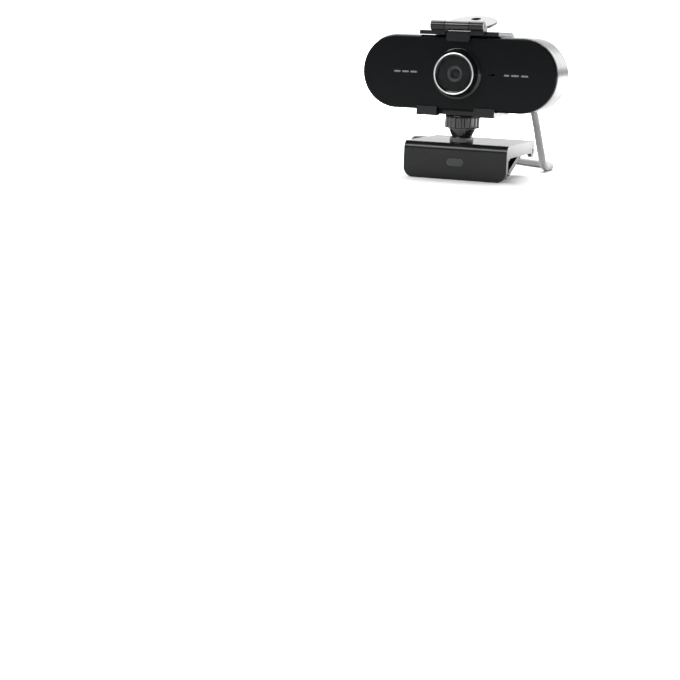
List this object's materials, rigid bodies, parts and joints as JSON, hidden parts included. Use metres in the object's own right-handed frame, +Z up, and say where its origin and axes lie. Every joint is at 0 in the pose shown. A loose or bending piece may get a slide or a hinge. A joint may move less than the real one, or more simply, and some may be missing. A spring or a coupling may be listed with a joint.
{
  "type": "webcam on clip stand",
  "caption": "Pill-shaped webcam with a flared lens bezel and flip-up privacy cover, on a ball joint over a folding screen clip, with a coiled USB cord",
  "frame": {"origin": "middle of the footprint of the camera and its clip, on the surface that the front flap and the rear leg stand on", "axes": "+X along the camera's width; -Y is where the lens looks; +Z up"},
  "size_m": [0.1072, 0.1538, 0.0778],
  "materials": {
    "gloss_black": "glossy black, mirror smooth",
    "satin_black": "satin black, fine texture",
    "satin_grey": "satin dark grey",
    "rubber_black": "matt",
    "badge_grey": "glossy dark grey",
    "steel": "zinc plated",
    "nylon": "off-white, smooth",
    "window_glass": "clear, coated",
    "lens_glass": "blue coated",
    "mask_black": "matt print",
    "ring_grey": "satin",
    "board_green": "solder mask",
    "sensor_blue": "iridescent",
    "mic_can": "plain",
    "header_cream": "plain",
    "cord_grey": "smooth PVC, satin",
    "plug_black": "fine texture",
    "plug_steel": "nickel plated",
    "tongue_white": "plain"
  },
  "bodies": {
    "clip": {"clip_frame": "satin_grey", "base_cover": "satin_grey", "front_pad": "rubber_black", "front_badge": "badge_grey", "leg_pin": "steel"},
    "rear_leg": {"rear_leg": "satin_grey", "leg_nose": "rubber_black"},
    "neck": {"swivel_collar": "satin_black", "ball_stud": "satin_black", "stud_washer": "steel", "stud_screw": "steel", "cord_run": "cord_grey", "cord_coil": "cord_grey", "cord_tail": "cord_grey", "cable_tie": "rubber_black", "usb_plug": "plug_black", "usb_shell": "plug_steel", "usb_tongue": "tongue_white"},
    "ball_seat": {"ball_seat": "nylon", "cord_drop": "cord_grey"},
    "head": {"ball_socket": "satin_black", "socket_screws": "steel", "bracket": "satin_black", "bracket_screws": "steel", "cover_pin": "steel", "front_plate": "gloss_black", "front_housing": "satin_black", "rear_housing": "satin_black", "housing_screws": "steel", "lens_bezel": "gloss_black", "lens_window": "window_glass", "lens_mask": "mask_black", "lens_barrel": "satin_black", "lens_element": "lens_glass", "retaining_ring": "ring_grey", "lens_holder": "satin_black", "image_sensor": "sensor_blue", "circuit_board": "board_green", "board_screws": "steel", "microphone": "mic_can", "mic_gasket": "rubber_black", "cable_header": "header_cream", "cable_grommet": "rubber_black", "cord_top": "cord_grey"},
    "clamp_nut": {"clamp_nut": "satin_black"},
    "privacy_cover": {"privacy_cover": "gloss_black"}
  },
  "joints": [
    {"name": "leg_hinge", "type": "hinge", "parent": "clip", "child": "rear_leg", "pos_m": [0, 0.0253, 0.0124], "axis": [1, 0, 0], "range_deg": [-22, 130]},
    {"name": "pan", "type": "hinge", "parent": "clip", "child": "neck", "pos_m": [0, -0.011, 0.0175], "axis": [0, 0, 1], "range_deg": [-90, 90]},
    {"name": "tilt", "type": "hinge", "parent": "neck", "child": "ball_seat", "pos_m": [0, -0.011, 0.0264], "axis": [1, 0, 0], "range_deg": [-17, 20], "deforming": ["cord_drop"]},
    {"name": "roll", "type": "hinge", "parent": "ball_seat", "child": "head", "pos_m": [0, -0.011, 0.0264], "axis": [0, 1, 0], "range_deg": [-12, 12], "deforming": ["cord_top"]},
    {"name": "nut_turn", "type": "hinge", "parent": "head", "child": "clamp_nut", "pos_m": [0, -0.011, 0.027], "axis": [0, 0, 1], "range_deg": [-90, 90]},
    {"name": "cover_hinge", "type": "hinge", "parent": "head", "child": "privacy_cover", "pos_m": [0, -0.0252, 0.0726], "axis": [1, 0, 0], "range_deg": [0, 255]}
  ]
}
